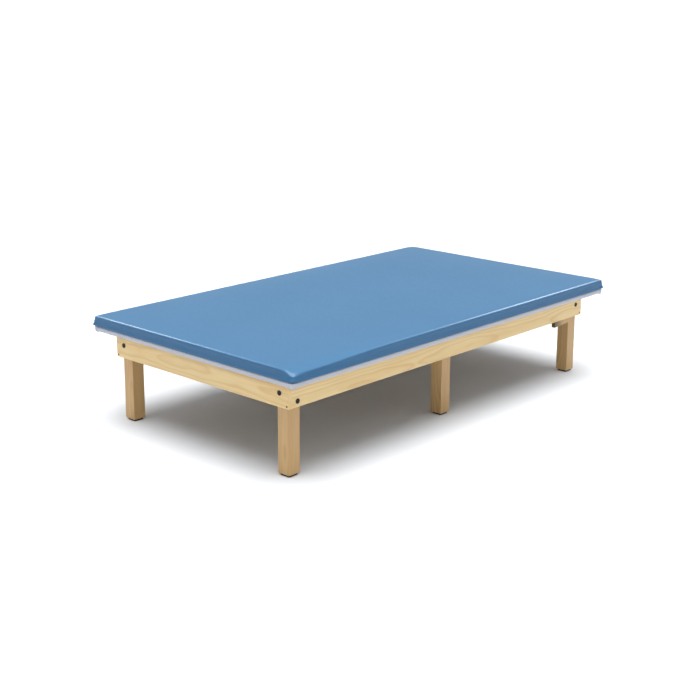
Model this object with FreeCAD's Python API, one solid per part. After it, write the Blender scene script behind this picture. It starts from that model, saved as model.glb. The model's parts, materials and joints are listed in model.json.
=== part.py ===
import FreeCAD, Part
import os

# Wooden mat platform table: a vinyl mat on a covered deck board, on a pine frame with six legs.
# Millimetres. +X runs along the length, +Y across to the back, +Z up.
# The origin is on the floor below the middle of the platform.

# Platform
PLATFORM_LENGTH = 2134.0
PLATFORM_WIDTH = 1219.0
FRAME_HEIGHT = 400.0
END_OVERHANG = 58.0
SIDE_OVERHANG = 82.0

# Frame timber
RAIL_THICKNESS = 19.0
RAIL_HEIGHT = 114.0
LEG_WIDTH = 60.0
LEDGER_SIZE = 38.0
BEAM_THICKNESS = 38.0
BEAM_HEIGHT = 89.0
CLEAT_LENGTH = 116.0
CLEAT_DROP_AT_LEG = 28.0
CLEAT_DROP_AT_END = 36.0
EASED_EDGE = 1.5
LEG_FOOT_CHAMFER = 3.0

# Deck board and its covering
BOARD_THICKNESS = 18.0
COVERING_THICKNESS = 1.0
TURN_UNDER = 30.0
DECK_CORNER_RADIUS = 12.0
DECK_TOP_RADIUS = 5.0
DECK_BOTTOM_RADIUS = 2.5

# Mat
MAT_THICKNESS = 51.0
COVER_THICKNESS = 1.0
GRIP_THICKNESS = 1.5
GRIP_WIDTH = 50.0
GRIP_INSET = 90.0
GRIP_END_GAP = 50.0
BASE_HEM = 8.0
BASE_CORNER_RADIUS = 10.0
MAT_CORNER_RADIUS = 13.0
MAT_TOP_RADIUS = 11.0
MAT_BOTTOM_RADIUS = 5.0

# Glides
GLIDE_SIDE = 50.0
GLIDE_CORNER_RADIUS = 8.0
GLIDE_HEIGHT = 7.0
GLIDE_EDGE = 2.0
GLIDE_RECESS_RADIUS = 6.5
GLIDE_RECESS_DEPTH = 3.5

# Fasteners
WOOD_GAP = 0.15
THREAD_GAP = 0.05
SCREW_RADIUS = 2.0
SCREW_HEAD_RADIUS = 4.0
SCREW_HEAD_DEPTH = 2.5
SCREW_TIP = 5.0
BOLT_RADIUS = 4.0
BOLT_HEAD_RADIUS = 10.5
BOLT_HEAD_HEIGHT = 2.5
BOLT_HEAD_EDGE = 1.0
BOLT_SOCKET_RADIUS = 2.9
BOLT_SOCKET_DEPTH = 2.0
RAIL_BOLT_LENGTH = 62.0
BARREL_NUT_RADIUS = 6.0
BARREL_NUT_LENGTH = 28.0
BARREL_NUT_DEPTH = 32.0
HEX_HEAD_RADIUS = 7.5
HEX_HEAD_HEIGHT = 5.3
HEX_NUT_HEIGHT = 6.5
WASHER_RADIUS = 11.0
WASHER_THICKNESS = 1.6
BOLT_TAIL = 4.0
LOW_BOLT_DROP = 33.0
MIDDLE_BOLT_RISES = (16.0, 46.0)
MIDDLE_SCREW_SPREAD = 15.0
MIDDLE_SCREW_DROP = 16.0
MIDDLE_SCREW_LENGTH = 88.0
RAIL_SCREW_LENGTH = 50.0
RAIL_SCREW_EDGE = 10.0
LEDGER_SCREW_DROP = 25.0
LEDGER_SCREWS_ALONG = 8
LEDGER_SCREWS_ACROSS = 4
LEDGER_SCREW_REACH_X = 840.0
LEDGER_SCREW_REACH_Y = 360.0
DECK_SCREW_LENGTH = 53.0
DECK_SCREWS_ALONG = 6
DECK_SCREWS_ACROSS = 3
DECK_SCREW_REACH_X = 720.0
DECK_SCREW_REACH_Y = 240.0
CLEAT_SCREW_LENGTH = 32.0
CLEAT_SCREW_INSET = 26.0
GLIDE_SCREW_LENGTH = 31.0
GLIDE_SCREW_HEAD_RADIUS = 5.0
GLIDE_SCREW_HEAD_HEIGHT = 2.5
GLIDE_SCREW_HEAD_EDGE = 1.0
STAPLE_WIDTH = 12.0
STAPLE_WIRE = 0.9
STAPLE_LEG = 9.0
STAPLES_ALONG = 16
STAPLES_ACROSS = 9
STAPLE_INSET = 20.0
STAPLE_PITCH_MARGIN = 40.0
FOLD_SIZE = 20.0
FOLD_INSET = 3.5
FOLD_CORNER_RADIUS = 6.0
FOLD_EDGE_RADIUS = 1.8
FOLD_THICKNESS = 5.0
TACK_HEAD_RADIUS = 3.8
TACK_HEAD_HEIGHT = 1.8
TACK_SHOULDER_RADIUS = 3.3
TACK_CROWN_RADIUS = 1.9
TACK_RADIUS = 1.0
TACK_LENGTH = 16.0

# Derived positions
HALF_LENGTH = PLATFORM_LENGTH / 2
HALF_WIDTH = PLATFORM_WIDTH / 2
RAIL_OUT_X = HALF_LENGTH - END_OVERHANG
RAIL_IN_X = RAIL_OUT_X - RAIL_THICKNESS
RAIL_OUT_Y = HALF_WIDTH - SIDE_OVERHANG
RAIL_IN_Y = RAIL_OUT_Y - RAIL_THICKNESS
RAIL_BOTTOM = FRAME_HEIGHT - RAIL_HEIGHT
CORNER_LEG_X = RAIL_IN_X - LEG_WIDTH / 2
CORNER_LEG_Y = RAIL_IN_Y - LEG_WIDTH / 2
LEDGER_IN_X = RAIL_IN_X - LEDGER_SIZE
LEDGER_IN_Y = RAIL_IN_Y - LEDGER_SIZE
LEDGER_BOTTOM = FRAME_HEIGHT - LEDGER_SIZE
BEAM_LEFT = -(BEAM_THICKNESS + LEG_WIDTH) / 2
BEAM_RIGHT = BEAM_LEFT + BEAM_THICKNESS
BEAM_BOTTOM = FRAME_HEIGHT - BEAM_HEIGHT
MIDDLE_LEG_X = BEAM_RIGHT + LEG_WIDTH / 2
MIDDLE_LEG_Y = LEDGER_IN_Y - LEG_WIDTH / 2
BOARD_TOP = FRAME_HEIGHT + BOARD_THICKNESS
DECK_TOP = BOARD_TOP + COVERING_THICKNESS
MAT_BOTTOM = DECK_TOP + GRIP_THICKNESS
MAT_TOP = DECK_TOP + MAT_THICKNESS
MID_BOLT_Z = RAIL_BOTTOM + RAIL_HEIGHT / 2
LOW_BOLT_Z = MID_BOLT_Z - LOW_BOLT_DROP

ENDS = (("left", -1), ("right", 1))
SIDES = (("front", -1), ("back", 1))

X_AXIS = FreeCAD.Vector(1, 0, 0)
Y_AXIS = FreeCAD.Vector(0, 1, 0)
UP = FreeCAD.Vector(0, 0, 1)
PARALLEL = 0.999
SAME_HEIGHT = 0.01
HEXAGON_SIDES = 6
FLAT_TO_CORNER = 2 / 3 ** 0.5


def point(x, y, z):
    return FreeCAD.Vector(x, y, z)


def block(low, high):
    """A box from its lowest to its highest corner."""
    size = high - low
    return Part.makeBox(size.x, size.y, size.z, low)


def block_between(one, other):
    """A box between any two opposite corners."""
    low = point(min(one.x, other.x), min(one.y, other.y), min(one.z, other.z))
    high = point(max(one.x, other.x), max(one.y, other.y), max(one.z, other.z))
    return block(low, high)


def edges_along(shape, axis):
    """The straight edges of a shape that run along one axis."""
    found = []
    for edge in shape.Edges:
        run = edge.Vertexes[-1].Point - edge.Vertexes[0].Point
        if run.Length > 0 and abs(run.dot(axis)) > PARALLEL * run.Length:
            found.append(edge)
    return found


def edges_at_height(shape, height):
    """The edges of a shape that lie flat at one height."""
    found = []
    for edge in shape.Edges:
        box = edge.BoundBox
        if abs(box.ZMin - height) < SAME_HEIGHT and abs(box.ZMax - height) < SAME_HEIGHT:
            found.append(edge)
    return found


def eased_board(low, high):
    """A level sawn board with its long edges eased."""
    board = block(low, high)
    size = high - low
    long_axis = X_AXIS if size.x > size.y else Y_AXIS
    return board.makeFillet(EASED_EDGE, edges_along(board, long_axis))


def rounded_slab(low, high, corner_radius, top_radius, bottom_radius):
    """A flat slab with rounded corners in plan and rounded top and bottom edges."""
    slab = block(low, high)
    slab = slab.makeFillet(corner_radius, edges_along(slab, UP))
    slab = slab.makeFillet(top_radius, edges_at_height(slab, high.z))
    return slab.makeFillet(bottom_radius, edges_at_height(slab, low.z))


def turned(profile, start, direction):
    """A round solid: (distance, radius) steps about an axis from start along direction."""
    outline = [point(radius, 0, distance) for distance, radius in profile]
    solid = Part.Face(Part.makePolygon(outline + [outline[0]])).revolve(point(0, 0, 0), UP, 360)
    solid.Placement = FreeCAD.Placement(start, FreeCAD.Rotation(UP, direction))
    return solid


def rod(start, direction, radius, length):
    """A plain round bar."""
    return turned([(0, 0), (0, radius), (length, radius), (length, 0)], start, direction)


def hexagon(start, direction, radius, length):
    """A six-sided bar whose flats are one radius from its axis."""
    corner = point(radius * FLAT_TO_CORNER, 0, 0)
    turns = [FreeCAD.Rotation(UP, 360 * step / HEXAGON_SIDES) for step in range(HEXAGON_SIDES + 1)]
    ring = Part.makePolygon([turn.multVec(corner) for turn in turns])
    bar = Part.Face(ring).extrude(UP * length)
    bar.Placement = FreeCAD.Placement(start, FreeCAD.Rotation(UP, direction))
    return bar


def screw_form(start, direction, length, gap):
    """A countersunk screw, or the hole that it needs when gap is added."""
    profile = [(0, 0), (0, SCREW_HEAD_RADIUS + gap), (SCREW_HEAD_DEPTH, SCREW_RADIUS + gap),
               (length - SCREW_TIP, SCREW_RADIUS + gap), (length + gap, 0)]
    return turned(profile, start, direction)


def spaced(reach, count):
    """Evenly spaced places from -reach to +reach."""
    return [-reach + 2 * reach * step / (count - 1) for step in range(count)]


class Fastenings:
    """Fastener solids by node name, with the holes that the timber needs for them."""

    def __init__(self):
        self.solids = {}
        self.holes = []

    def add(self, node, solid, hole=None):
        self.solids.setdefault(node, []).append(solid)
        if hole is not None:
            self.holes.append(hole)

    def wood_screw(self, node, start, direction, length):
        """A countersunk screw whose head is flush with the surface at start."""
        screw = screw_form(start, direction, length, 0)
        hole = screw_form(start, direction, length, THREAD_GAP)
        self.add(node, screw, hole)

    def rail_bolt(self, start, direction, nut_direction):
        """A flat-headed bolt through a rail into a barrel nut, which went in against nut_direction."""
        bolt = turned([(-BOLT_HEAD_HEIGHT, 0), (-BOLT_HEAD_HEIGHT, BOLT_HEAD_RADIUS - BOLT_HEAD_EDGE),
                       (-BOLT_HEAD_HEIGHT + BOLT_HEAD_EDGE, BOLT_HEAD_RADIUS), (0, BOLT_HEAD_RADIUS),
                       (0, BOLT_RADIUS), (RAIL_BOLT_LENGTH, BOLT_RADIUS), (RAIL_BOLT_LENGTH, 0)],
                      start, direction)
        head_face = start - direction * BOLT_HEAD_HEIGHT
        socket = hexagon(head_face, direction, BOLT_SOCKET_RADIUS, BOLT_SOCKET_DEPTH)
        hole = rod(start, direction, BOLT_RADIUS + WOOD_GAP, RAIL_BOLT_LENGTH + WOOD_GAP)
        self.add("rail_bolts", bolt.cut(socket), hole)
        nut_centre = start + direction * (RAIL_THICKNESS + BARREL_NUT_DEPTH)
        nut_inner = nut_centre - nut_direction * (BARREL_NUT_LENGTH / 2)
        nut = rod(nut_inner, nut_direction, BARREL_NUT_RADIUS, BARREL_NUT_LENGTH)
        thread = rod(nut_centre - direction * LEG_WIDTH / 2, direction, BOLT_RADIUS + THREAD_GAP, LEG_WIDTH)
        nut_hole = rod(nut_inner - nut_direction * WOOD_GAP, nut_direction, BARREL_NUT_RADIUS + WOOD_GAP,
                       BARREL_NUT_LENGTH / 2 + LEG_WIDTH / 2 + WOOD_GAP)
        self.add("barrel_nuts", nut.cut(thread), nut_hole)

    def middle_bolt(self, start, direction, grip):
        """A hexagon bolt with a washer under its head and another under its nut."""
        under_head = start - direction * WASHER_THICKNESS
        shank_length = grip + 2 * WASHER_THICKNESS + HEX_NUT_HEIGHT + BOLT_TAIL
        shank = rod(under_head, direction, BOLT_RADIUS, shank_length)
        head = hexagon(under_head - direction * HEX_HEAD_HEIGHT, direction, HEX_HEAD_RADIUS, HEX_HEAD_HEIGHT)
        hole = rod(start, direction, BOLT_RADIUS + WOOD_GAP, grip)
        self.add("middle_leg_bolts", head.fuse(shank).removeSplitter(), hole)
        far_face = start + direction * grip
        for washer_start in (under_head, far_face):
            washer = rod(washer_start, direction, WASHER_RADIUS, WASHER_THICKNESS)
            opening = rod(washer_start, direction, BOLT_RADIUS + WOOD_GAP, WASHER_THICKNESS)
            self.add("middle_leg_washers", washer.cut(opening))
        nut_start = far_face + direction * WASHER_THICKNESS
        nut = hexagon(nut_start, direction, HEX_HEAD_RADIUS, HEX_NUT_HEIGHT)
        thread = rod(nut_start, direction, BOLT_RADIUS + THREAD_GAP, HEX_NUT_HEIGHT)
        self.add("middle_leg_nuts", nut.cut(thread))

    def glide_screw(self, start):
        """A pan-headed screw up through a glide into the leg."""
        rim = GLIDE_SCREW_HEAD_RADIUS - GLIDE_SCREW_HEAD_EDGE
        screw = turned([(-GLIDE_SCREW_HEAD_HEIGHT, 0), (-GLIDE_SCREW_HEAD_HEIGHT, rim),
                        (-GLIDE_SCREW_HEAD_EDGE, GLIDE_SCREW_HEAD_RADIUS), (0, GLIDE_SCREW_HEAD_RADIUS),
                        (0, SCREW_RADIUS), (GLIDE_SCREW_LENGTH - SCREW_TIP, SCREW_RADIUS),
                        (GLIDE_SCREW_LENGTH, 0)], start, UP)
        hole = rod(start, UP, SCREW_RADIUS + THREAD_GAP, GLIDE_SCREW_LENGTH + THREAD_GAP)
        self.add("glide_screws", screw, hole)

    def corner_tack(self, start):
        """A round-headed tack up through a corner fold into the deck board."""
        tack = turned([(-TACK_HEAD_HEIGHT, 0), (-TACK_HEAD_HEIGHT, TACK_CROWN_RADIUS),
                       (-TACK_HEAD_HEIGHT / 2, TACK_SHOULDER_RADIUS), (0, TACK_HEAD_RADIUS), (0, TACK_RADIUS),
                       (TACK_LENGTH - TACK_RADIUS, TACK_RADIUS), (TACK_LENGTH, 0)], start, UP)
        hole = rod(start, UP, TACK_RADIUS + THREAD_GAP, TACK_LENGTH + THREAD_GAP)
        self.add("deck_corner_tacks", tack, hole)

    def staple(self, centre, along):
        """A wire staple up through the turned-under covering, with its crown along one axis."""
        half = along * (STAPLE_WIDTH / 2)
        across = UP.cross(along) * (STAPLE_WIRE / 2)
        crown = block_between(centre - half - across - UP * STAPLE_WIRE, centre + half + across)
        legs = []
        for end in (-1, 1):
            outer = centre + half * end
            inner = outer - along * (STAPLE_WIRE * end)
            legs.append(block_between(outer - across, inner + across + UP * STAPLE_LEG))
        self.add("deck_staples", crown.fuse(legs).removeSplitter())
        for leg in legs:
            self.holes.append(leg)


def rails():
    """The left end rail caps the long rails, and the long rails cap the right end rail."""
    return {
        "left_end_rail": eased_board(point(-RAIL_OUT_X, -RAIL_OUT_Y, RAIL_BOTTOM),
                                     point(-RAIL_IN_X, RAIL_OUT_Y, FRAME_HEIGHT)),
        "right_end_rail": eased_board(point(RAIL_IN_X, -RAIL_IN_Y, RAIL_BOTTOM),
                                      point(RAIL_OUT_X, RAIL_IN_Y, FRAME_HEIGHT)),
        "front_rail": eased_board(point(-RAIL_IN_X, -RAIL_OUT_Y, RAIL_BOTTOM),
                                  point(RAIL_OUT_X, -RAIL_IN_Y, FRAME_HEIGHT)),
        "back_rail": eased_board(point(-RAIL_IN_X, RAIL_IN_Y, RAIL_BOTTOM),
                                 point(RAIL_OUT_X, RAIL_OUT_Y, FRAME_HEIGHT)),
    }


def ledgers():
    """Square battens inside the rails that carry the deck, cut to fit between the corner legs."""
    along = RAIL_IN_X - LEG_WIDTH
    across = RAIL_IN_Y - LEG_WIDTH
    return {
        "left_ledger": eased_board(point(-RAIL_IN_X, -across, LEDGER_BOTTOM),
                                   point(-LEDGER_IN_X, across, FRAME_HEIGHT)),
        "right_ledger": eased_board(point(LEDGER_IN_X, -across, LEDGER_BOTTOM),
                                    point(RAIL_IN_X, across, FRAME_HEIGHT)),
        "front_ledger": eased_board(point(-along, -RAIL_IN_Y, LEDGER_BOTTOM),
                                    point(along, -LEDGER_IN_Y, FRAME_HEIGHT)),
        "back_ledger": eased_board(point(-along, LEDGER_IN_Y, LEDGER_BOTTOM),
                                   point(along, RAIL_IN_Y, FRAME_HEIGHT)),
    }


def centre_beam():
    """The beam under the middle of the deck, between the long ledgers."""
    return eased_board(point(BEAM_LEFT, -LEDGER_IN_Y, BEAM_BOTTOM),
                       point(BEAM_RIGHT, LEDGER_IN_Y, FRAME_HEIGHT))


def front_right_cleat():
    """A sawn offcut behind the front rail, beside the front right leg, with a sloping lower edge."""
    right = RAIL_IN_X - LEG_WIDTH
    left = right - CLEAT_LENGTH
    outline = [point(left, -RAIL_IN_Y, LEDGER_BOTTOM),
               point(left, -RAIL_IN_Y, RAIL_BOTTOM - CLEAT_DROP_AT_END),
               point(right, -RAIL_IN_Y, RAIL_BOTTOM - CLEAT_DROP_AT_LEG),
               point(right, -RAIL_IN_Y, LEDGER_BOTTOM)]
    return Part.Face(Part.makePolygon(outline + [outline[0]])).extrude(Y_AXIS * RAIL_THICKNESS)


def leg_centres():
    """The plan position of each leg, by name."""
    centres = {}
    for side, y_sign in SIDES:
        for end, x_sign in ENDS:
            centres[f"{side}_{end}"] = point(x_sign * CORNER_LEG_X, y_sign * CORNER_LEG_Y, 0)
        centres[f"{side}_middle"] = point(MIDDLE_LEG_X, y_sign * MIDDLE_LEG_Y, 0)
    return centres


def leg(centre):
    """A square leg with eased long edges and a chamfered foot."""
    half = point(LEG_WIDTH / 2, LEG_WIDTH / 2, 0)
    post = block(centre - half + UP * GLIDE_HEIGHT, centre + half + UP * FRAME_HEIGHT)
    post = post.makeChamfer(LEG_FOOT_CHAMFER, edges_at_height(post, GLIDE_HEIGHT))
    return post.makeFillet(EASED_EDGE, edges_along(post, UP))


def glide(centre):
    """A square rubber glide with rounded corners and a recess for its screw."""
    half = point(GLIDE_SIDE / 2, GLIDE_SIDE / 2, 0)
    pad = block(centre - half, centre + half + UP * GLIDE_HEIGHT)
    pad = pad.makeFillet(GLIDE_CORNER_RADIUS, edges_along(pad, UP))
    pad = pad.makeFillet(GLIDE_EDGE, edges_at_height(pad, 0))
    return pad.cut(rod(centre, UP, GLIDE_RECESS_RADIUS, GLIDE_RECESS_DEPTH))


def deck_solid(inset):
    """The covered deck's outer form, or the board inside it when inset by the covering's thickness."""
    half = point(HALF_LENGTH - inset, HALF_WIDTH - inset, 0)
    low = UP * (FRAME_HEIGHT - COVERING_THICKNESS + inset) - half
    high = UP * (DECK_TOP - inset) + half
    return rounded_slab(low, high, DECK_CORNER_RADIUS - inset, DECK_TOP_RADIUS - inset,
                        DECK_BOTTOM_RADIUS - inset)


def deck_covering(board):
    """The covering over the board's top and edges, turned under all round."""
    half = point(HALF_LENGTH - TURN_UNDER, HALF_WIDTH - TURN_UNDER, 0)
    window = block(UP * (FRAME_HEIGHT - COVERING_THICKNESS) - half, UP * FRAME_HEIGHT + half)
    return deck_solid(0).cut(board).cut(window)


def deck_corner_fold(x_sign, y_sign):
    """The covering's bulky fold under one corner of the deck."""
    outer = point(x_sign * (HALF_LENGTH - FOLD_INSET), y_sign * (HALF_WIDTH - FOLD_INSET),
                  FRAME_HEIGHT - COVERING_THICKNESS)
    inner = outer - point(x_sign * FOLD_SIZE, y_sign * FOLD_SIZE, FOLD_THICKNESS)
    fold = block_between(outer, inner)
    fold = fold.makeFillet(FOLD_CORNER_RADIUS, edges_along(fold, UP))
    return fold.makeFillet(FOLD_EDGE_RADIUS, edges_at_height(fold, inner.z))


def mat_solid(inset):
    """The mat's outer form, or the foam inside it when inset by the cover's thickness."""
    half = point(HALF_LENGTH - inset, HALF_WIDTH - inset, 0)
    return rounded_slab(UP * (MAT_BOTTOM + inset) - half, UP * (MAT_TOP - inset) + half,
                        MAT_CORNER_RADIUS - inset, MAT_TOP_RADIUS - inset, MAT_BOTTOM_RADIUS - inset)


def mat_base_panel():
    """The flat panel that closes the cover under the foam."""
    inset = MAT_BOTTOM_RADIUS + BASE_HEM
    half = point(HALF_LENGTH - inset, HALF_WIDTH - inset, 0)
    panel = block(UP * MAT_BOTTOM - half, UP * (MAT_BOTTOM + COVER_THICKNESS) + half)
    return panel.makeFillet(BASE_CORNER_RADIUS, edges_along(panel, UP))


def mat_grip_strips():
    """Two long and two short strips that hold the mat's base to the deck."""
    reach_x = HALF_LENGTH - GRIP_INSET
    reach_y = HALF_WIDTH - GRIP_INSET
    short_reach = reach_y - GRIP_WIDTH - GRIP_END_GAP
    strips = []
    for sign in (-1, 1):
        strips.append(block_between(point(-reach_x, sign * reach_y, DECK_TOP),
                                    point(reach_x, sign * (reach_y - GRIP_WIDTH), MAT_BOTTOM)))
        strips.append(block_between(point(sign * reach_x, -short_reach, DECK_TOP),
                                    point(sign * (reach_x - GRIP_WIDTH), short_reach, MAT_BOTTOM)))
    return Part.makeCompound(strips)


def fasten_frame(fastenings):
    """The corner bolts, the screws at the rail ends and the middle legs' bolts and screws."""
    half_rail = RAIL_THICKNESS / 2
    for _, y_sign in SIDES:
        outward_y = point(0, y_sign, 0)
        for _, x_sign in ENDS:
            outward_x = point(x_sign, 0, 0)
            through_end = point(x_sign * RAIL_OUT_X, y_sign * CORNER_LEG_Y, 0)
            through_side = point(x_sign * CORNER_LEG_X, y_sign * RAIL_OUT_Y, 0)
            end_rail_caps = x_sign < 0
            end_z = MID_BOLT_Z if end_rail_caps else LOW_BOLT_Z
            side_z = LOW_BOLT_Z if end_rail_caps else MID_BOLT_Z
            fastenings.rail_bolt(through_end + UP * end_z, -outward_x, -outward_y)
            fastenings.rail_bolt(through_side + UP * side_z, -outward_y, -outward_x)
            for screw_z in (RAIL_BOTTOM + RAIL_SCREW_EDGE, FRAME_HEIGHT - RAIL_SCREW_EDGE):
                if end_rail_caps:
                    start = point(-RAIL_OUT_X, y_sign * (RAIL_OUT_Y - half_rail), screw_z)
                    fastenings.wood_screw("rail_end_screws", start, -outward_x, RAIL_SCREW_LENGTH)
                else:
                    start = point(RAIL_OUT_X - half_rail, y_sign * RAIL_OUT_Y, screw_z)
                    fastenings.wood_screw("rail_end_screws", start, -outward_y, RAIL_SCREW_LENGTH)
        for rise in MIDDLE_BOLT_RISES:
            start = point(BEAM_LEFT, y_sign * MIDDLE_LEG_Y, BEAM_BOTTOM + rise)
            fastenings.middle_bolt(start, X_AXIS, BEAM_THICKNESS + LEG_WIDTH)
        inner_y = y_sign * (LEDGER_IN_Y - LEG_WIDTH)
        for shift in (-MIDDLE_SCREW_SPREAD, MIDDLE_SCREW_SPREAD):
            start = point(MIDDLE_LEG_X + shift, inner_y, FRAME_HEIGHT - MIDDLE_SCREW_DROP)
            fastenings.wood_screw("middle_leg_screws", start, outward_y, MIDDLE_SCREW_LENGTH)


def fasten_ledgers_and_deck(fastenings):
    """Screws from the ledgers into the rails, and up through the ledgers into the deck board."""
    screw_z = FRAME_HEIGHT - LEDGER_SCREW_DROP
    ledger_x = RAIL_IN_X - LEDGER_SIZE / 2
    ledger_y = RAIL_IN_Y - LEDGER_SIZE / 2
    for _, sign in SIDES:
        for x in spaced(LEDGER_SCREW_REACH_X, LEDGER_SCREWS_ALONG):
            fastenings.wood_screw("ledger_screws", point(x, sign * LEDGER_IN_Y, screw_z), point(0, sign, 0),
                                  RAIL_SCREW_LENGTH)
        for x in spaced(DECK_SCREW_REACH_X, DECK_SCREWS_ALONG):
            fastenings.wood_screw("deck_screws", point(x, sign * ledger_y, LEDGER_BOTTOM), UP,
                                  DECK_SCREW_LENGTH)
    for _, sign in ENDS:
        for y in spaced(LEDGER_SCREW_REACH_Y, LEDGER_SCREWS_ACROSS):
            fastenings.wood_screw("ledger_screws", point(sign * LEDGER_IN_X, y, screw_z), point(sign, 0, 0),
                                  RAIL_SCREW_LENGTH)
        for y in spaced(DECK_SCREW_REACH_Y, DECK_SCREWS_ACROSS):
            fastenings.wood_screw("deck_screws", point(sign * ledger_x, y, LEDGER_BOTTOM), UP,
                                  DECK_SCREW_LENGTH)


def fasten_cleat(fastenings):
    """Four screws from the cleat into the front rail."""
    right = RAIL_IN_X - LEG_WIDTH
    for x in (right - CLEAT_LENGTH + CLEAT_SCREW_INSET, right - CLEAT_SCREW_INSET):
        for z in (RAIL_BOTTOM + CLEAT_SCREW_INSET / 2, LEDGER_BOTTOM - CLEAT_SCREW_INSET / 2):
            fastenings.wood_screw("cleat_screws", point(x, RAIL_THICKNESS - RAIL_IN_Y, z), -Y_AXIS,
                                  CLEAT_SCREW_LENGTH)


def fasten_deck_covering(fastenings):
    """Staples along the turned-under covering, and a tack through the fold at each corner."""
    line_x = HALF_LENGTH - STAPLE_INSET
    line_y = HALF_WIDTH - STAPLE_INSET
    underside = FRAME_HEIGHT - COVERING_THICKNESS
    tack_x = HALF_LENGTH - FOLD_INSET - FOLD_SIZE / 2
    tack_y = HALF_WIDTH - FOLD_INSET - FOLD_SIZE / 2
    for sign in (-1, 1):
        for x in spaced(line_x - STAPLE_PITCH_MARGIN, STAPLES_ALONG):
            fastenings.staple(point(x, sign * line_y, underside), X_AXIS)
        for y in spaced(line_y - STAPLE_PITCH_MARGIN, STAPLES_ACROSS):
            fastenings.staple(point(sign * line_x, y, underside), Y_AXIS)
    for _, y_sign in SIDES:
        for _, x_sign in ENDS:
            fastenings.corner_tack(point(x_sign * tack_x, y_sign * tack_y, underside - FOLD_THICKNESS))


def drilled(solid, holes):
    """A piece with every hole that reaches it cut away."""
    near = [hole for hole in holes if hole.BoundBox.intersect(solid.BoundBox)]
    return solid.cut(near) if near else solid


def build():
    """Every node of the platform, by name."""
    fastenings = Fastenings()
    fasten_frame(fastenings)
    fasten_ledgers_and_deck(fastenings)
    fasten_cleat(fastenings)
    fasten_deck_covering(fastenings)

    pieces = {**rails(), **ledgers()}
    pieces["centre_beam"] = centre_beam()
    pieces["front_right_cleat"] = front_right_cleat()
    for name, centre in leg_centres().items():
        pieces[f"leg_{name}"] = leg(centre)
        pieces[f"glide_{name}"] = glide(centre)
        fastenings.glide_screw(centre + UP * GLIDE_RECESS_DEPTH)
    board = deck_solid(COVERING_THICKNESS)
    pieces["deck_board"] = board
    pieces["deck_covering"] = deck_covering(board)
    folds = [deck_corner_fold(x_sign, y_sign) for _, y_sign in SIDES for _, x_sign in ENDS]
    pieces["deck_corner_folds"] = Part.makeCompound(folds)
    pieces = {name: drilled(piece, fastenings.holes) for name, piece in pieces.items()}

    foam = mat_solid(COVER_THICKNESS)
    panel = mat_base_panel()
    pieces["mat_foam"] = foam
    pieces["mat_base_panel"] = panel
    pieces["mat_cover"] = mat_solid(0).cut(foam).cut(panel)
    pieces["mat_grip_strips"] = mat_grip_strips()
    for name, solids in fastenings.solids.items():
        pieces[name] = Part.makeCompound(solids)
    return pieces


os.makedirs("parts", exist_ok=True)
for node, shape in build().items():
    shape.exportStep(f"parts/{node}.step")
    print(f"{node}: {len(shape.Solids)} solid(s), {shape.Volume / 1000:.1f} cm3, valid {shape.isValid()}")
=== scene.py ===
import json
import math

import bpy
import numpy as np
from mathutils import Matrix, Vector, noise


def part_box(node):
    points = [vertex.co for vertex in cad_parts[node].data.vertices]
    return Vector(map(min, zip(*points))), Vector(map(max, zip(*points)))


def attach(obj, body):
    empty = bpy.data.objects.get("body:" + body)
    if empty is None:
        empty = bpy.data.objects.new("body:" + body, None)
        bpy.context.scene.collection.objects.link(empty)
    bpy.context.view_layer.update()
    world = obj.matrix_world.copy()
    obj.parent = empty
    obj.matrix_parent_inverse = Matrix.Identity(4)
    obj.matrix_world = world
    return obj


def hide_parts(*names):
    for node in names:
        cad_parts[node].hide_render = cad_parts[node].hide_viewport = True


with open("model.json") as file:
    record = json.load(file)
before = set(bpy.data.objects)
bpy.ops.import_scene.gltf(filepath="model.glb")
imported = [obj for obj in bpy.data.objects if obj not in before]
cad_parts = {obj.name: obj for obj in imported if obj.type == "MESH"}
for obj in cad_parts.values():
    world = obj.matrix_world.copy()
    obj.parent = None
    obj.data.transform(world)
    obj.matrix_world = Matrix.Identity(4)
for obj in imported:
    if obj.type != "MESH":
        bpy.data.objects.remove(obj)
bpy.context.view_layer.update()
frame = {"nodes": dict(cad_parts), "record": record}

# Camera and light
CAMERA_PLACE = (-4.168, -3.753, 1.815)
CAMERA_TURN = (76.746, -0.211, -47.283)
CAMERA_LENS = 64.52
CAMERA_SHIFT = -0.0857
SUN_STRENGTH = 3.85
SUN_WIDTH = 50.0
SKY_RAMP = ((0.0, 1.05), (0.05, 1.05), (0.075, 0.30), (0.3, 0.30), (0.6, 0.5), (1.0, 0.7))
SKY_TINT = (0.97, 0.985, 1.0)
STRIP_POWER = 85.0
STRIP_LENGTH = 2.2
STRIP_WIDTH = 0.8
FLOOR_SIZE = 400.0
FLOOR_COLOUR = (0.765, 0.785, 0.815, 1.0)

# Mat
MAT_STEP = 0.02
MAT_FINE_STEP = 0.0018
MAT_STEP_GROWTH = 0.16
MAT_EASE = 0.0045
MAT_CORNER = 0.006
MAT_NEAR_CORNER = 0.020
MAT_TOP_EDGE = 0.010
MAT_SOFT_EDGE = 0.009
MAT_SOFT_REACH = 0.06
MAT_SOFT_AT_CORNER = 0.65
MAT_SOFT_AT_WORN = 0.35
MAT_FIRM_EDGE = 0.005
MAT_FIRM_REACH = 0.04
MAT_BOTTOM_EDGE = 0.003
MAT_RIM_SAG = 0.0012
MAT_SAG_REACH = 0.05
MAT_SIDE_RINGS = 9
MAT_BELLY = 0.0016
MAT_CROWN = 0.005
MAT_CROWN_POWER = 6
MAT_CORNER_DROP = 0.003
MAT_CORNER_REACH = 0.03
MAT_NEAR_DROP = 0.006
MAT_NEAR_REACH = 0.03
MAT_WORN_DROP = 0.010
MAT_WORN_PLACE = 0.12
MAT_WORN_LENGTH = 0.26
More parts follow.
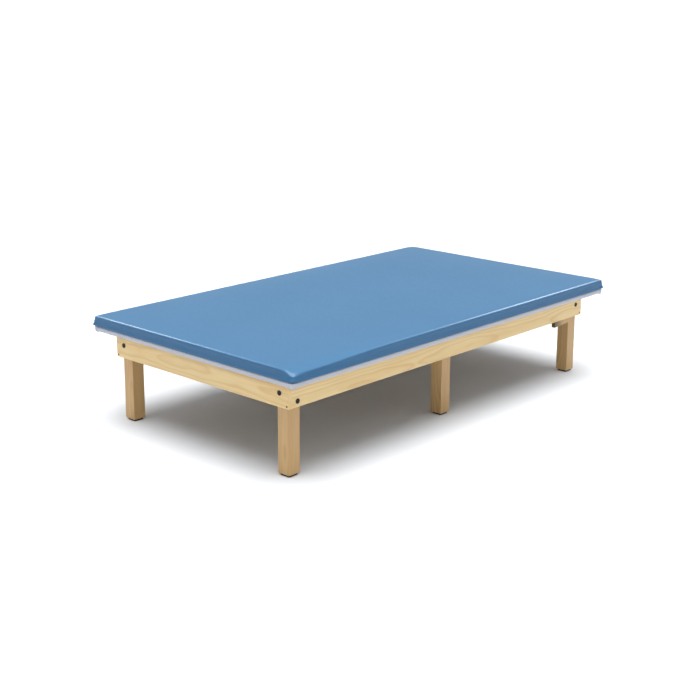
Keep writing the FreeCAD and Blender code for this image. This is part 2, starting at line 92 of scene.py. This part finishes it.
MAT_WORN_DEPTH = 0.035
MAT_LEAN = 0.008
MAT_LEAN_POWER = 1.3
MAT_TOP_POWER = 1.5
MAT_SIDE_REACH = 0.03
MAT_CORNER_SHARE = 0.006
MAT_CURL = 0.0015
MAT_CURL_REACH = 0.03
MAT_CREASE = 0.0009
MAT_CREASE_ALONG = 16
MAT_CREASE_UP = 110
MAT_CRUSH = 1.5
MAT_CRUSH_REACH = 0.08
MAT_WAVE = 0.0008
MAT_WAVE_SCALE = 2.3
MAT_WAVE_PLACE = 5
SWELL_FRAMES = 20
SWELL_PRESSURE = 4.0
SWELL_LIMIT = 0.0025
SWELL_BASE = 0.014
SWELL_TOP = 0.006
SWELL_TOP_HOLD = 0.35
SWELL_SIDE_HOLD = 0.4

# Timber
GRAIN_ORDER = {"x": ("Y", "Z", "X"), "y": ("X", "Z", "Y"), "z": ("X", "Y", "Z")}
RING_TONES = ((0.0, 0.25), (0.12, 0.0), (0.55, 0.1), (0.9, 1.0), (1.0, 0.25))
PLY_TONES = ((0.0, 0.1), (0.65, 0.25), (0.93, 0.9), (1.0, 0.1))
STREAK_TINT = (1.12, 1.08, 0.95)
FIBRE_TINT = 0.62
RAIL_LIGHT = (0.90, 0.71, 0.36)
RAIL_DARK = (0.72, 0.46, 0.18)
RAIL_RING = 0.0075
# Painted shade: the tops of the rails darken under the deck's overhang, in place of its shadow
RAIL_PAINTED_SHADE = (0.70, 0.58, 0.52)
RAIL_SHADE_CLEAR = 0.048
RAIL_SHADE_FULL = 0.014
LEG_LIGHT = (0.655, 0.435, 0.200)
LEG_DARK = (0.46, 0.265, 0.095)
LEG_RING = 0.006
CLEAT = "front_right_cleat"
# Painted shade: the cleat darkens toward its left end, in place of the shade behind the front rail
CLEAT_PAINTED_SHADE = (0.22, 0.24, 0.15)
CLEAT_SHADE_CLEAR = 0.075
CLEAT_SHADE_FULL = 0.01


class Shading:
    """A material under construction: adds nodes and joins them to the surface shader."""

    def __init__(self, name):
        self.material = bpy.data.materials.new(name)
        self.material.use_nodes = True
        self.tree = self.material.node_tree
        self.shader = self.tree.nodes["Principled BSDF"]

    def add(self, kind, inputs=None, **settings):
        node = self.tree.nodes.new("ShaderNode" + kind)
        for key, value in settings.items():
            setattr(node, key, value)
        for key, value in (inputs or {}).items():
            self.put(node.inputs[key], value)
        return node

    def put(self, socket, value):
        if isinstance(value, bpy.types.NodeSocket):
            self.tree.links.new(value, socket)
        else:
            socket.default_value = value

    def surface(self, **inputs):
        for key, value in inputs.items():
            self.put(self.shader.inputs[key.replace("_", " ")], value)
        return self.material

    def place(self):
        return self.add("TexCoord").outputs["Object"]

    def math(self, operation, *values):
        node = self.add("Math", operation=operation)
        for socket, value in zip(node.inputs, values):
            self.put(socket, value)
        return node.outputs[0]

    def noise(self, place, scale, detail=3.0, roughness=0.5):
        inputs = {"Vector": place, "Scale": scale, "Detail": detail, "Roughness": roughness}
        return self.add("TexNoise", inputs).outputs["Fac"]

    def stretched(self, place, scale, shift=(0, 0, 0)):
        return self.add("Mapping", {"Vector": place, "Scale": scale, "Location": shift}).outputs["Vector"]

    def ramp(self, factor, *stops):
        node = self.add("ValToRGB", {"Fac": factor})
        elements = node.color_ramp.elements
        while len(elements) < len(stops):
            elements.new(0.5)
        for element, (position, colour) in zip(elements, stops):
            element.position = position
            element.color = (*colour, 1.0) if len(colour) == 3 else colour
        return node.outputs["Color"]

    def blend(self, factor, first, second, mode="MIX"):
        node = self.add("Mix", data_type="RGBA", blend_type=mode)
        self.put(node.inputs[0], factor)
        self.put(node.inputs[6], first if isinstance(first, bpy.types.NodeSocket) else (*first, 1.0))
        self.put(node.inputs[7], second if isinstance(second, bpy.types.NodeSocket) else (*second, 1.0))
        return node.outputs[2]

    def span(self, factor, low, high):
        return self.add("MapRange", {"Value": factor, "To Min": low, "To Max": high}).outputs["Result"]

    def bump(self, height, strength, distance, below=None):
        inputs = {"Height": height, "Strength": strength, "Distance": distance}
        if below is not None:
            inputs["Normal"] = below
        return self.add("Bump", inputs).outputs["Normal"]


def pine(name, grain, centre, light, dark, spacing, painted_shade=None):
    """Lacquered pine with its growth rings round an axis that runs along the grain, beside the piece.

    A painted shade is an axis, where it starts and is full along that axis, and its tint: it darkens the
    colour where shade falls.
    """
    s = Shading(name)
    rng = np.random.default_rng(sum(ord(letter) * (i + 1) for i, letter in enumerate(name)))
    parts = s.add("SeparateXYZ", {"Vector": s.place()})
    first, second, along = (parts.outputs[axis] for axis in GRAIN_ORDER[grain])
    order = ["XYZ".index(axis) for axis in GRAIN_ORDER[grain]]
    heart = [centre[order[0]] + rng.uniform(0.07, 0.12) * rng.choice((-1, 1)),
             centre[order[1]] + rng.uniform(-0.04, 0.04)]
    tilt = [rng.uniform(-0.02, 0.02), rng.uniform(-0.02, 0.02)]
    shifts = []
    for value, middle, lean in ((first, heart[0], tilt[0]), (second, heart[1], tilt[1])):
        leaning = s.math("MULTIPLY_ADD", along, lean, -middle)
        shifts.append(s.math("ADD", value, leaning))
    local = s.add("CombineXYZ", {"X": shifts[0], "Y": shifts[1], "Z": along}).outputs[0]
    wander = s.noise(s.stretched(local, (3.0, 3.0, 1.1)), 1.6, 3.0, 0.45)
    squares = s.math("ADD", s.math("POWER", shifts[0], 2.0), s.math("POWER", shifts[1], 2.0))
    radius = s.math("ADD", s.math("SQRT", squares), s.span(wander, -0.022, 0.022))
    rings = s.math("FRACT", s.math("DIVIDE", radius, spacing))
    early = s.ramp(rings, *((stop, (tone,) * 3) for stop, tone in RING_TONES))
    fibre = s.noise(s.stretched(local, (420.0, 420.0, 5.0)), 1.0, 3.0, 0.6)
    streak = s.noise(s.stretched(local, (26.0, 26.0, 1.6)), 1.0, 4.0, 0.55)
    patch = s.noise(s.stretched(local, (5.0, 5.0, 1.3)), 1.0, 2.0, 0.5)
    colour = s.blend(s.math("MULTIPLY", early, s.span(patch, 0.25, 0.95)), light, dark)
    streaked = tuple(part * tint for part, tint in zip(dark, STREAK_TINT))
    colour = s.blend(s.span(streak, -0.35, 0.75), colour, streaked)
    colour = s.blend(s.span(fibre, 0.0, 0.28), colour, tuple(part * FIBRE_TINT for part in dark), "MULTIPLY")
    # painted shade: the colour darkens along one axis in place of a shadow
    if painted_shade:
        axis, clear, full, tint = painted_shade
        reach = s.math("ADD", parts.outputs[axis], s.span(streak, -0.006, 0.006))
        amount = s.add("MapRange", {"Value": reach, "From Min": clear, "From Max": full}).outputs["Result"]
        colour = s.blend(amount, colour, tint, "MULTIPLY")
    height = s.math("ADD", s.math("MULTIPLY", early, 0.5), fibre)
    return s.surface(Base_Color=colour, Roughness=s.span(fibre, 0.36, 0.55),
                     Normal=s.bump(height, 0.25, 0.0006),
                     Specular_IOR_Level=0.45, Coat_Weight=0.12, Coat_Roughness=0.3)


def blue_vinyl():
    """Mat vinyl: pebbled grain, soft gloss, uneven colour, and painted shade that darkens faces looking
    sideways.
    """
    s = Shading("blue_vinyl")
    place = s.place()
    cells = s.add("TexVoronoi", {"Vector": place, "Scale": 520.0}, feature="SMOOTH_F1")
    pebble = cells.outputs["Distance"]
    cloud = s.noise(place, 2.4, 4.0, 0.55)
    speck = s.noise(place, 90.0, 3.0, 0.6)
    colour = s.blend(s.span(cloud, 0.0, 1.0), (0.055, 0.169, 0.320), (0.073, 0.196, 0.356))
    colour = s.blend(s.span(speck, 0.0, 0.22), colour, (0.035, 0.11, 0.22))
    facing = s.add("SeparateXYZ", {"Vector": s.add("TexCoord").outputs["Normal"]}).outputs["Z"]
    # painted shade: faces that look sideways are darkened in place of the lower light they get
    painted_side_shade = s.add("MapRange", {"Value": facing, "From Min": 0.75, "From Max": 0.3}).outputs["Result"]
    colour = s.blend(painted_side_shade, colour, (0.54, 0.66, 0.71), "MULTIPLY")
    height = s.math("ADD", pebble, s.math("MULTIPLY", speck, 0.8))
    return s.surface(Base_Color=colour, Roughness=s.span(speck, 0.24, 0.36),
                     Normal=s.bump(height, 0.2, 0.0003), Specular_IOR_Level=0.32)


def grey_vinyl():
    """Light grey covering of the deck: leather grain, a little dirt in it."""
    s = Shading("grey_vinyl")
    place = s.place()
    cells = s.add("TexVoronoi", {"Vector": place, "Scale": 700.0}, feature="SMOOTH_F1").outputs["Distance"]
    cloud = s.noise(place, 7.0, 4.0, 0.55)
    speck = s.noise(place, 160.0, 2.0, 0.6)
    colour = s.blend(cloud, (0.42, 0.44, 0.49), (0.50, 0.51, 0.56))
    colour = s.blend(s.span(speck, 0.0, 0.25), colour, (0.36, 0.36, 0.40))
    return s.surface(Base_Color=colour, Roughness=s.span(cloud, 0.36, 0.5), Normal=s.bump(cells, 0.2, 0.0004),
                     Specular_IOR_Level=0.5)


def black_rubber():
    """Moulded rubber with a fine texture and scuffs."""
    s = Shading("black_rubber")
    place = s.place()
    fine = s.noise(place, 900.0, 3.0, 0.65)
    scuff = s.noise(place, 60.0, 5.0, 0.7)
    colour = s.ramp(scuff, (0.35, (0.012,) * 3), (0.75, (0.045, 0.043, 0.04)))
    return s.surface(Base_Color=colour, Roughness=s.span(scuff, 0.55, 0.85), Normal=s.bump(fine, 0.3, 0.0005),
                     Specular_IOR_Level=0.35)


def metal(name, worn, fresh, roughness, metallic):
    """Plated or blackened steel, slightly uneven."""
    s = Shading(name)
    place = s.place()
    patch = s.noise(place, 140.0, 4.0, 0.65)
    fine = s.noise(place, 1500.0, 2.0, 0.6)
    colour = s.ramp(patch, (0.3, worn), (0.7, fresh))
    return s.surface(Base_Color=colour, Metallic=metallic, Roughness=s.span(fine, *roughness),
                     Normal=s.bump(fine, 0.12, 0.0003))


def plywood():
    """Sanded plywood face with long soft figure along the board."""
    s = Shading("plywood")
    place = s.place()
    warp = s.noise(s.stretched(place, (0.9, 3.5, 3.5)), 1.4, 3.0, 0.5)
    parts = s.add("SeparateXYZ", {"Vector": place})
    rows = s.math("ADD", s.math("MULTIPLY", parts.outputs["Y"], 14.0), s.span(warp, -2.4, 2.4))
    figure = s.math("FRACT", rows)
    band = s.ramp(figure, *((stop, (tone,) * 3) for stop, tone in PLY_TONES))
    fibre = s.noise(s.stretched(place, (6.0, 500.0, 500.0)), 1.0, 3.0, 0.6)
    plies = s.math("FRACT", s.math("MULTIPLY", parts.outputs["Z"], 400.0))
    colour = s.blend(s.math("MULTIPLY", band, 0.6), (0.38, 0.36, 0.335), (0.28, 0.26, 0.24))
    colour = s.blend(s.span(fibre, 0.0, 0.3), colour, (0.40, 0.34, 0.27), "MULTIPLY")
    colour = s.blend(s.math("MULTIPLY", s.math("GREATER_THAN", plies, 0.5), 0.12), colour, (0.3, 0.18, 0.08))
    return s.surface(Base_Color=colour, Roughness=s.span(fibre, 0.55, 0.75),
                     Normal=s.bump(fibre, 0.25, 0.0005))


def woven(name, first, second):
    """Plain woven black fabric: two crossed sets of threads."""
    s = Shading(name)
    parts = s.add("SeparateXYZ", {"Vector": s.place()})
    warp = s.math("SINE", s.math("MULTIPLY", parts.outputs["X"], 4200.0))
    weft = s.math("SINE", s.math("MULTIPLY", parts.outputs["Y"], 4200.0))
    height = s.span(s.math("MULTIPLY", warp, weft), 0.0, 1.0)
    colour = s.blend(height, first, second)
    return s.surface(Base_Color=colour, Roughness=s.span(height, 0.75, 0.95),
                     Normal=s.bump(height, 0.4, 0.0004))


def foam():
    """Open-celled foam."""
    s = Shading("foam")
    cells = s.add("TexVoronoi", {"Vector": s.place(), "Scale": 600.0}).outputs["Distance"]
    colour = s.ramp(cells, (0.0, (0.34, 0.29, 0.14)), (0.6, (0.74, 0.68, 0.44)))
    return s.surface(Base_Color=colour, Roughness=s.span(cells, 0.8, 0.98), Normal=s.bump(cells, 0.6, 0.001))


def mat_lines(half):
    """Grid lines across the mat on one axis: fine at the rim and wider toward the middle."""
    lines = [0.0]
    while lines[-1] < half:
        lines.append(lines[-1] + min(MAT_STEP, MAT_FINE_STEP + MAT_STEP_GROWTH * lines[-1]))
    depth = np.array(lines[:-1]) * half / (lines[-2] + MAT_STEP / 2)
    return np.concatenate([depth - half, (half - depth)[::-1]])


def worn_edge(x, y, half):
    """How worn the front edge is, from 1 a little way along from the near corner to 0 away from it."""
    along = (x + half[0] - MAT_WORN_PLACE) / MAT_WORN_LENGTH
    across = (y + half[1]) / MAT_WORN_DEPTH
    return math.exp(-(along ** 2 + across ** 2))


def rim_drop(x, y, half):
    """How far the top sinks at the four corners, most at the near one, and along the worn edge beside it."""
    tip = math.hypot(half[0] - abs(x), half[1] - abs(y))
    near_tip = math.hypot(half[0] + x, half[1] + y)
    drop = MAT_CORNER_DROP * math.exp(-((tip / MAT_CORNER_REACH) ** 2))
    drop += MAT_NEAR_DROP * math.exp(-((near_tip / MAT_NEAR_REACH) ** 2))
    return drop + MAT_WORN_DROP * worn_edge(x, y, half)


def top_edge(x, y, half):
    """The radius of the top edge: softer at the near corner and the worn edge, firmer at the others."""
    tip = math.hypot(half[0] - abs(x), half[1] - abs(y))
    firm = 0.0 if x < 0 and y < 0 else math.exp(-((tip / MAT_FIRM_REACH) ** 2))
    near_tip = math.hypot(half[0] + x, half[1] + y)
    soft = MAT_SOFT_AT_CORNER * math.exp(-((near_tip / MAT_SOFT_REACH) ** 2))
    soft += MAT_SOFT_AT_WORN * worn_edge(x, y, half)
    return MAT_TOP_EDGE + MAT_SOFT_EDGE * soft - MAT_FIRM_EDGE * firm


def mat_point(x, y, up, low, high, half):
    """A point of the mat's skin from its place on a box: up runs from 0 at the bottom to 1 at the top."""
    thick = high.z - low.z
    inset = min(half[0] - abs(x), half[1] - abs(y))
    edge = top_edge(x, y, half)
    z = low.z + thick * up
    if up == 1.0:
        roll = max(edge - inset, 0.0)
        z -= edge - math.sqrt(max(edge ** 2 - roll ** 2, 0.0))
    elif up == 0.0:
        roll = max(MAT_BOTTOM_EDGE - inset, 0.0)
        z += MAT_BOTTOM_EDGE - math.sqrt(max(MAT_BOTTOM_EDGE ** 2 - roll ** 2, 0.0))
    else:
        z = low.z + MAT_BOTTOM_EDGE + (thick - edge - MAT_BOTTOM_EDGE) * up
    rise = (z - low.z) / thick
    radius = MAT_NEAR_CORNER if x < 0 and y < 0 else MAT_CORNER
    corner = (max(abs(x) - half[0] + radius, 0.0), max(abs(y) - half[1] + radius, 0.0))
    px, py = x, y
    if min(corner) > 0:
        pull = max(corner) / math.hypot(*corner)
        px = math.copysign(half[0] - radius + corner[0] * pull, x)
        py = math.copysign(half[1] - radius + corner[1] * pull, y)
    near = math.exp(-inset / MAT_SIDE_REACH)
    tip = math.hypot(half[0] - abs(x), half[1] - abs(y))
    crush = 1.0 + MAT_CRUSH * math.exp(-tip / MAT_CRUSH_REACH)
    along = x if half[0] - abs(x) > half[1] - abs(y) else y
    quarter = math.copysign(3, x) + math.copysign(5, y)
    crease = noise.noise(Vector((along * MAT_CREASE_ALONG, quarter, z * MAT_CREASE_UP)))
    wave = noise.noise(Vector((x * MAT_WAVE_SCALE, y * MAT_WAVE_SCALE, MAT_WAVE_PLACE)))
    bulge = MAT_BELLY * math.sin(math.pi * rise) + MAT_CREASE * crease * crush * math.sin(math.pi * rise)
    bulge -= MAT_LEAN * (1 - rise) ** MAT_LEAN_POWER
    share = ((MAT_CORNER_SHARE + inset) / (MAT_CORNER_SHARE + half[0] - abs(x)),
             (MAT_CORNER_SHARE + inset) / (MAT_CORNER_SHARE + half[1] - abs(y)))
    px += math.copysign((bulge - MAT_BELLY) * near * share[0], x)
    py += math.copysign((bulge - MAT_BELLY) * near * share[1], y)
    flat = (1 - (x / half[0]) ** MAT_CROWN_POWER) * (1 - (y / half[1]) ** MAT_CROWN_POWER)
    crown = MAT_CROWN * (flat - 1)
    z += (crown + MAT_WAVE * wave - rim_drop(x, y, half)) * rise ** MAT_TOP_POWER
    z -= MAT_RIM_SAG * math.exp(-((inset / MAT_SAG_REACH) ** 2)) * (1 - rise)
    z += (MAT_CURL + MAT_RIM_SAG) * math.exp(-((tip / MAT_CURL_REACH) ** 2)) * (1 - rise)
    return px, py, z


def swell(piece):
    """Cloth pass: air pressure swells the skin round its held base, and no point moves past the limit."""
    base = min(vertex.co.z for vertex in piece.data.vertices)
    top = max(vertex.co.z for vertex in piece.data.vertices)
    still = np.array([vertex.co for vertex in piece.data.vertices])
    held = piece.vertex_groups.new(name="held")
    for vertex in piece.data.vertices:
        hold = SWELL_SIDE_HOLD
        if vertex.co.z < base + SWELL_BASE:
            hold = 1.0
        elif vertex.co.z > top - SWELL_TOP:
            hold = SWELL_TOP_HOLD
        held.add([vertex.index], hold, "REPLACE")
    cloth = piece.modifiers.new("swell", "CLOTH")
    settings = cloth.settings
    settings.quality = 6
    settings.mass = 0.3
    settings.tension_stiffness = 20.0
    settings.compression_stiffness = 20.0
    settings.shear_stiffness = 8.0
    settings.bending_stiffness = 1.0
    settings.vertex_group_mass = "held"
    settings.pin_stiffness = 1.0
    settings.use_pressure = True
    settings.uniform_pressure_force = SWELL_PRESSURE
    settings.effector_weights.gravity = 0.0
    cloth.collision_settings.use_self_collision = False
    cloth.collision_settings.use_collision = False
    scene = bpy.context.scene
    cloth.point_cache.frame_start = 1
    cloth.point_cache.frame_end = SWELL_FRAMES
    for step in range(1, SWELL_FRAMES + 1):
        scene.frame_set(step)
    pulled = piece.evaluated_get(bpy.context.evaluated_depsgraph_get()).data
    moves = np.array([vertex.co for vertex in pulled.vertices]) - still
    piece.modifiers.remove(cloth)
    piece.vertex_groups.remove(held)
    scene.frame_set(1)
    length = np.linalg.norm(moves, axis=1, keepdims=True)
    length = np.maximum(length, 1e-9)
    capped = moves * (SWELL_LIMIT * np.tanh(length / SWELL_LIMIT) / length)
    piece.data.vertices.foreach_set("co", (still + capped).ravel())
    piece.data.update()


def mat_skin():
    """The padded mat as one closed skin of quads."""
    low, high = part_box("mat_cover")
    half = ((high.x - low.x) / 2 - MAT_EASE, (high.y - low.y) / 2 - MAT_EASE)
    xs, ys = mat_lines(half[0]), mat_lines(half[1])
    nx, ny = len(xs), len(ys)
    index, vertices, faces = {}, [], []

    def vertex(i, j, k):
        if (i, j, k) not in index:
            index[i, j, k] = len(vertices)
            vertices.append(mat_point(xs[i], ys[j], k / MAT_SIDE_RINGS, low, high, half))
        return index[i, j, k]

    for i in range(nx - 1):
        for j in range(ny - 1):
            square = ((i, j), (i + 1, j), (i + 1, j + 1), (i, j + 1))
            faces.append([vertex(*at, MAT_SIDE_RINGS) for at in square])
            faces.append([vertex(*at, 0) for at in reversed(square)])
    rim = [(i, 0) for i in range(nx)] + [(nx - 1, j) for j in range(1, ny)]
    rim += [(i, ny - 1) for i in range(nx - 2, -1, -1)] + [(0, j) for j in range(ny - 2, 0, -1)]
    for here, after in zip(rim, rim[1:] + rim[:1]):
        for k in range(MAT_SIDE_RINGS):
            faces.append([vertex(*here, k), vertex(*after, k), vertex(*after, k + 1), vertex(*here, k + 1)])
    mesh = bpy.data.meshes.new("mat_upholstery")
    mesh.from_pydata(vertices, [], faces)
    mesh.polygons.foreach_set("use_smooth", [True] * len(mesh.polygons))
    piece = bpy.data.objects.new("mat_upholstery", mesh)
    bpy.context.scene.collection.objects.link(piece)
    return piece


def set_material(node, material):
    """Give a carried-over node one material."""
    piece = frame["nodes"][node]
    piece.data.materials.clear()
    piece.data.materials.append(material)


TIMBER = {"left_end_rail": "y", "right_end_rail": "y", "front_rail": "x", "back_rail": "x",
          "left_ledger": "y", "right_ledger": "y", "front_ledger": "x", "back_ledger": "x",
          "centre_beam": "y", CLEAT: "x"}

for node, grain in TIMBER.items():
    low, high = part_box(node)
    middle = (low + high) / 2
    if node == CLEAT:
        # painted shade toward the cleat's left end, behind the front rail
        painted_shade = ("X", low.x + CLEAT_SHADE_CLEAR, low.x + CLEAT_SHADE_FULL, CLEAT_PAINTED_SHADE)
        set_material(node, pine("pine_" + node, grain, middle, LEG_LIGHT, LEG_DARK, LEG_RING, painted_shade))
    else:
        # painted shade along the top of each rail, under the deck
        painted_shade = ("Z", high.z - RAIL_SHADE_CLEAR, high.z - RAIL_SHADE_FULL, RAIL_PAINTED_SHADE)
        set_material(node, pine("pine_" + node, grain, middle, RAIL_LIGHT, RAIL_DARK, RAIL_RING, painted_shade))
for node in frame["nodes"]:
    if node.startswith("leg_"):
        low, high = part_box(node)
        set_material(node, pine("pine_" + node, "z", (low + high) / 2, LEG_LIGHT, LEG_DARK, LEG_RING))

rubber = black_rubber()
black_steel = metal("black_steel", (0.03, 0.028, 0.026), (0.008, 0.008, 0.008), (0.35, 0.55), 0.6)
zinc = metal("zinc_steel", (0.42, 0.41, 0.38), (0.66, 0.66, 0.63), (0.25, 0.45), 1.0)
covering = grey_vinyl()
fabric = woven("black_fabric", (0.012,) * 3, (0.045, 0.045, 0.05))
BY_SLOT = {"black_rubber": rubber, "black_steel": black_steel, "zinc_steel": zinc, "grey_vinyl": covering,
           "black_fabric": fabric, "plywood": plywood(), "foam": foam(), "blue_vinyl": blue_vinyl()}
for row in frame["record"]["subparts"]:
    if row["material_slot"] in BY_SLOT:
        set_material(row["node"], BY_SLOT[row["material_slot"]])

mat = mat_skin()
mat.data.materials.append(BY_SLOT["blue_vinyl"])
swell(mat)
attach(mat, "root")
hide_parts("mat_cover", "mat_foam", "mat_base_panel")

floor_mesh = bpy.data.meshes.new("floor")
reach = FLOOR_SIZE / 2
floor_mesh.from_pydata([(-reach, -reach, 0), (reach, -reach, 0), (reach, reach, 0), (-reach, reach, 0)], [],
                       [(0, 1, 2, 3)])
floor = bpy.data.objects.new("floor", floor_mesh)
bpy.context.scene.collection.objects.link(floor)
paint = Shading("floor_paint")
floor_mesh.materials.append(paint.surface(Base_Color=FLOOR_COLOUR, Roughness=0.9, Specular_IOR_Level=0.0))

world = bpy.data.worlds.new("studio")
bpy.context.scene.world = world
world.use_nodes = True
tree = world.node_tree
where = tree.nodes.new("ShaderNodeTexCoord")
parts = tree.nodes.new("ShaderNodeSeparateXYZ")
sky = tree.nodes.new("ShaderNodeValToRGB")
while len(sky.color_ramp.elements) < len(SKY_RAMP):
    sky.color_ramp.elements.new(0.5)
for element, (position, level) in zip(sky.color_ramp.elements, SKY_RAMP):
    element.position = position
    element.color = (*(level * part for part in SKY_TINT), 1.0)
tree.links.new(where.outputs["Generated"], parts.inputs[0])
tree.links.new(parts.outputs["Z"], sky.inputs["Fac"])
tree.links.new(sky.outputs["Color"], tree.nodes["Background"].inputs["Color"])


def lamp(name, kind, energy, place, aim, in_diffuse=True, **settings):
    """A light at a place, turned toward a point; it can be kept to reflections only."""
    light = bpy.data.lights.new(name, kind)
    light.energy = energy
    for key, value in settings.items():
        setattr(light, key, value)
    holder = bpy.data.objects.new(name, light)
    holder.location = place
    holder.visible_diffuse = in_diffuse
    holder.rotation_euler = (Vector(aim) - Vector(place)).to_track_quat("-Z", "Y").to_euler()
    bpy.context.scene.collection.objects.link(holder)


lamp("overhead_softbox", "SUN", SUN_STRENGTH, (-0.4, -0.4, 6), (0, 0, 0), angle=math.radians(SUN_WIDTH))
strip = {"shape": "RECTANGLE", "size": STRIP_LENGTH, "size_y": STRIP_WIDTH}
lamp("back_strip", "AREA", STRIP_POWER, (-1.3, 3.2, 2.8), (-1.0, 0, 0.47), False, **strip)
lamp("side_strip", "AREA", STRIP_POWER, (3.6, -0.8, 2.7), (0.3, -0.6, 0.47), False, **strip)

lens = bpy.data.cameras.new("camera")
lens.sensor_width = 36.0
lens.lens = CAMERA_LENS
lens.shift_y = CAMERA_SHIFT
lens.clip_end = 1000.0
camera = bpy.data.objects.new("camera", lens)
camera.location = CAMERA_PLACE
camera.rotation_euler = [math.radians(a) for a in CAMERA_TURN]
bpy.context.scene.collection.objects.link(camera)
bpy.context.scene.camera = camera
bpy.context.scene.view_settings.view_transform = "Standard"
